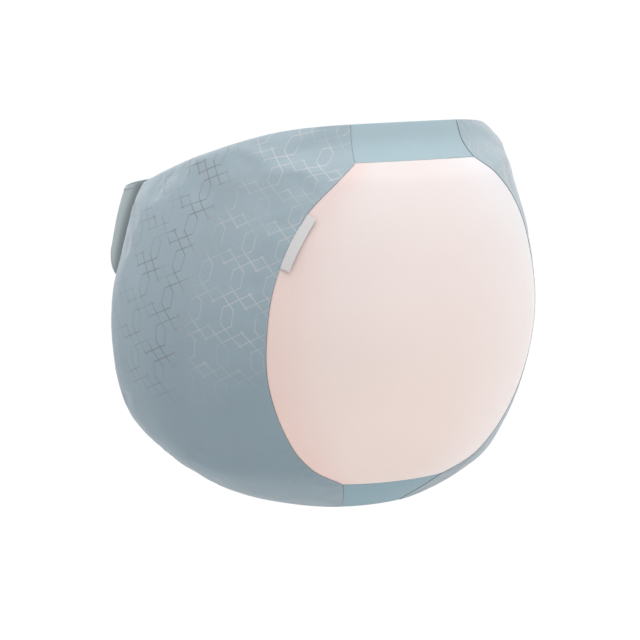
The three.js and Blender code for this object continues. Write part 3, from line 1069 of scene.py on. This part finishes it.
def strap_grid(side, step_height, out):
    """Grid of a strap from under its wing to its end, lifted by a step at the closure."""
    belt = sizes()
    start = WING_REACH - math.degrees(STRAP_LAP / belt.body_half_width)
    turn = mix(start, HALF_TURN + turn_at_back(CLOSURE_LAP / 2), steps(STRAP_COLUMNS))[:, None]
    step_end = HALF_TURN - turn_at_back(CLOSURE_LAP / 2 + belt.strap_thickness + belt.clearance)
    step_start = step_end - turn_at_back(CLOSURE_STEP_LENGTH)
    lift = step_height * ease((turn - step_start) / (step_end - step_start))
    row = steps(STRAP_ROWS)[None, :] - 0.5
    height = strap_middle(turn) + row * strap_width_at(turn)
    away = ease((turn - WING_REACH) / BULGE_RISE)
    bulge = STRAP_BULGE * away * (1 - ease((turn - BULGE_FALL_START) / BULGE_FALL))
    cupping = STRAP_CUPPING * (2 * row) ** 4 * away
    return body_point(side * turn, height, out + lift + bulge - cupping)


def strap_place():
    """Shares along and across a strap, one for each point of its grid."""
    share = np.broadcast_to(steps(STRAP_COLUMNS)[:, None], (STRAP_COLUMNS + 1, STRAP_ROWS + 1))
    return share, np.broadcast_to(steps(STRAP_ROWS)[None, :], share.shape)


class BELT_OT_straps(bpy.types.Operator):
    """Add the elastic back straps"""

    bl_idname = "belt.straps"
    bl_label = "Back Straps"

    def execute(self, context):
        material = strap_material()
        for name, side, step_height in both_straps():
            outer = strap_grid(side, step_height, sizes().strap_thickness)
            inner = strap_grid(side, step_height, 0.0)
            piece = cloth_piece(name + "_elastic", outer, inner, material, STRAP_ROLL, *strap_place())
            stand_for(name)
            declare_sheet(outer)
        return {"FINISHED"}


def hook_grid(out):
    turn = HALF_TURN + turn_at_back(HOOK_LENGTH) * (steps(HOOK_COLUMNS)[:, None] - 0.5)
    row = steps(HOOK_ROWS)[None, :] - 0.5
    return body_point(turn, strap_middle(turn) + row * HOOK_WIDTH, out)


class BELT_OT_hook_patch(bpy.types.Operator):
    """Add the plain hook patch between the lapped strap ends"""

    bl_idname = "belt.hook_patch"
    bl_label = "Hook Patch"

    def execute(self, context):
        seat = sizes().strap_thickness + sizes().clearance
        outer = hook_grid(seat + sizes().hook_thickness)
        piece = cloth_piece("hook_patch_tape", outer, hook_grid(seat), hook_material(), HOOK_ROLL)
        stand_for("hook_patch")
        declare_sheet(outer)
        return {"FINISHED"}


def label_frame():
    """Points along the near seam for the label, with the directions inward and outward there."""
    belt = sizes()
    seat = belt.panel_thickness + belt.clearance

    def seam_point(up):
        return belt_point(-seam_turn(up, -1), up, seat)

    probe = 0.01
    rise = np.linalg.norm(seam_point(LABEL_START + probe) - seam_point(LABEL_START)) / probe
    up = LABEL_START + steps(LABEL_ROWS) * belt.label_length / rise
    here = seam_point(up)
    along = seam_point(up + probe / 10) - seam_point(up - probe / 10)
    to_front = belt_point(1 - seam_turn(up, -1), up, seat) - here
    outward = np.cross(to_front, along)
    outward /= np.linalg.norm(outward, axis=1, keepdims=True)
    inward = np.cross(along, outward)
    inward /= np.linalg.norm(inward, axis=1, keepdims=True)
    return here, inward, outward


def label_grid(offset):
    """The tape's path: out along the panel, round the fold and back, moved off its middle by offset."""
    width, bend = sizes().label_width, LABEL_TAPE
    run = width - bend - LABEL_TAPE / 2
    flat_steps, bend_steps = steps(LABEL_FLAT_COLUMNS), steps(LABEL_BEND_COLUMNS)[1:-1]
    angle = np.pi * (bend_steps - 0.5)
    x = np.concatenate([run * flat_steps, run + bend * np.cos(angle), run * flat_steps[::-1]])
    z = np.concatenate([0 * flat_steps - bend, bend * np.sin(angle), 0 * flat_steps + bend])
    slope = np.gradient(np.stack([x, z]), axis=1)
    slope /= np.linalg.norm(slope, axis=0)
    off_seam = 1.5 * sizes().clearance
    x = x - slope[1] * offset + off_seam
    z = z + slope[0] * offset + bend + LABEL_TAPE / 2
    here, inward, outward = label_frame()
    towards_fold = (x / width)[None, :] ** 2
    wave = np.sin(2 * np.pi * LABEL_SWAYS * steps(LABEL_ROWS))[:, None]
    height = z[None, :] + (LABEL_LIFT + LABEL_SWAY * wave) * towards_fold
    return here[:, None] + inward[:, None] * x[None, :, None] + outward[:, None] * height[..., None]


class BELT_OT_side_label(bpy.types.Operator):
    """Add the bare folded tape in the panel's near seam"""

    bl_idname = "belt.side_label"
    bl_label = "Side Label"

    def execute(self, context):
        outer, inner = label_grid(LABEL_CLOTH / 2), label_grid(-LABEL_CLOTH / 2)
        piece = cloth_piece("side_label_tape", outer, inner, label_material(), LABEL_ROLL)
        stand_for("side_label")
        declare_sheet(label_grid(0.0))
        return {"FINISHED"}


class BELT_OT_stitching(bpy.types.Operator):
    """Add the tone-on-tone stitches along the straps' edges"""

    bl_idname = "belt.stitching"
    bl_label = "Stitching"

    def execute(self, context):
        paler = [1.25 * channel for channel in colours().strap[:3]]
        thread = thread_material("strap thread", paler)
        outside = sizes().strap_thickness + STITCH_SEAT
        for name, side, step_height in both_straps():
            surface = strap_grid(side, step_height, outside)[FIRST_STITCHED_COLUMN:]
            above = strap_grid(side, step_height, outside + MM)[FIRST_STITCHED_COLUMN:]
            for edge, row in (("top", -2), ("bottom", 1)):
                path = surface[:, row]
                piece = stitches(f"{name}_{edge}_stitches", path, above[:, row] - path, thread)
        return {"FINISHED"}


# Stage: camera at the photograph's angle, soft light, pale floor

CAMERA_AZIMUTH = math.radians(-30.9)
CAMERA_ELEVATION = math.radians(8.4)
CAMERA_DISTANCE = 2.4
CAMERA_LENS = 168.75
CAMERA_AIM = (11.6 * MM, -18.4 * MM)
FLOOR_HEIGHT = -0.5
FLOOR_SIZE = 60.0
ROOM_LIGHT = 0.58
ROOM_SEEN = 1.0


def camera_axes():
    az, el = CAMERA_AZIMUTH, CAMERA_ELEVATION
    back = Vector((math.sin(az) * math.cos(el), -math.cos(az) * math.cos(el), math.sin(el)))
    right = Vector((math.cos(az), math.sin(az), 0.0))
    return right, back.cross(right), back


def add_camera():
    right, up, back = camera_axes()
    aim = right * CAMERA_AIM[0] + up * CAMERA_AIM[1]
    bpy.ops.object.camera_add(location=aim + back * CAMERA_DISTANCE,
                              rotation=back.to_track_quat("Z", "Y").to_euler())
    camera = bpy.context.object
    camera.name = "photo_camera"
    camera.data.lens = CAMERA_LENS
    camera.data.sensor_width = 36.0
    camera.data.clip_end = 100.0
    bpy.context.scene.camera = camera


def add_sun(name, side, ahead, height, spread, power):
    """A soft light from far off: how far to the camera's right, towards it and up, and its spread."""
    right, _, back = camera_axes()
    level = Vector((back.x, back.y, 0.0)).normalized()
    place = right * side + level * ahead + Vector((0, 0, height))
    bpy.ops.object.light_add(type="SUN", location=place,
                             rotation=place.to_track_quat("Z", "Y").to_euler())
    light = bpy.context.object
    light.name = name
    light.data.angle = math.radians(spread)
    light.data.energy = power


def floor_material():
    """Matt pale floor with the faintest unevenness."""
    material, nodes, shader = new_material("pale floor", 0.9, 0.0, 0.1)
    position = nodes.add("ShaderNodeTexCoord").outputs["Object"]
    tone = nodes.ranged(nodes.noise(position, 3.0), 0.3, 0.7, 0.63, 0.65)
    nodes.feed(shader.inputs["Base Color"], toned(nodes, (1.0, 1.0, 1.0), tone))
    return material


class BELT_OT_stage(bpy.types.Operator):
    """Add the camera, the lights and the pale floor"""

    bl_idname = "belt.stage"
    bl_label = "Stage"

    def execute(self, context):
        bpy.ops.object.select_all(action="DESELECT")
        add_camera()
        bpy.ops.mesh.primitive_plane_add(size=FLOOR_SIZE, location=(0, 0, FLOOR_HEIGHT))
        floor = bpy.context.object
        floor.name = "pale_floor"
        floor.data.materials.append(floor_material())
        add_sun("key_light", side=1.2, ahead=1.2, height=2.2, spread=60.0, power=2.1)
        add_sun("top_light", side=-0.7, ahead=-0.4, height=2.0, spread=80.0, power=1.7)
        world = bpy.data.worlds.new("white room")
        world.use_nodes = True
        nodes = Nodes(world.node_tree)
        background = world.node_tree.nodes["Background"]
        background.inputs["Color"].default_value = (1, 1, 1, 1)
        seen = nodes.add("ShaderNodeLightPath").outputs["Is Camera Ray"]
        nodes.feed(background.inputs["Strength"],
                   nodes.ranged(seen, 0.0, 1.0, ROOM_LIGHT, ROOM_SEEN, "LINEAR"))
        context.scene.world = world
        context.scene.view_settings.view_transform = "Standard"
        return {"FINISHED"}


OPERATORS = (
    BELT_OT_front_panel,
    BELT_OT_tabs,
    BELT_OT_wings,
    BELT_OT_straps,
    BELT_OT_hook_patch,
    BELT_OT_side_label,
    BELT_OT_stitching,
    BELT_OT_stage,
)


class BELT_PT_sidebar(bpy.types.Panel):
    """Lists the belt's pieces in the order in which they are added"""

    bl_label = "Support Belt"
    bl_idname = "BELT_PT_sidebar"
    bl_space_type = "VIEW_3D"
    bl_region_type = "UI"
    bl_category = "Belt"

    def draw(self, context):
        column = self.layout.column()
        for operator in OPERATORS:
            column.operator(operator.bl_idname)
        for group in (context.scene.belt_sizes, context.scene.belt_colours):
            for name in group.__annotations__:
                column.prop(group, name)


CLASSES = (BeltSizes, BeltColours, *OPERATORS, BELT_PT_sidebar)


def register():
    for each in CLASSES:
        bpy.utils.register_class(each)
    bpy.types.Scene.belt_sizes = bpy.props.PointerProperty(type=BeltSizes)
    bpy.types.Scene.belt_colours = bpy.props.PointerProperty(type=BeltColours)


def unregister():
    del bpy.types.Scene.belt_colours
    del bpy.types.Scene.belt_sizes
    for each in reversed(CLASSES):
        bpy.utils.unregister_class(each)


def main():
    register()
    for operator in OPERATORS:
        group, name = operator.bl_idname.split(".")
        getattr(getattr(bpy.ops, group), name)()


if __name__ == "__main__":
    main()
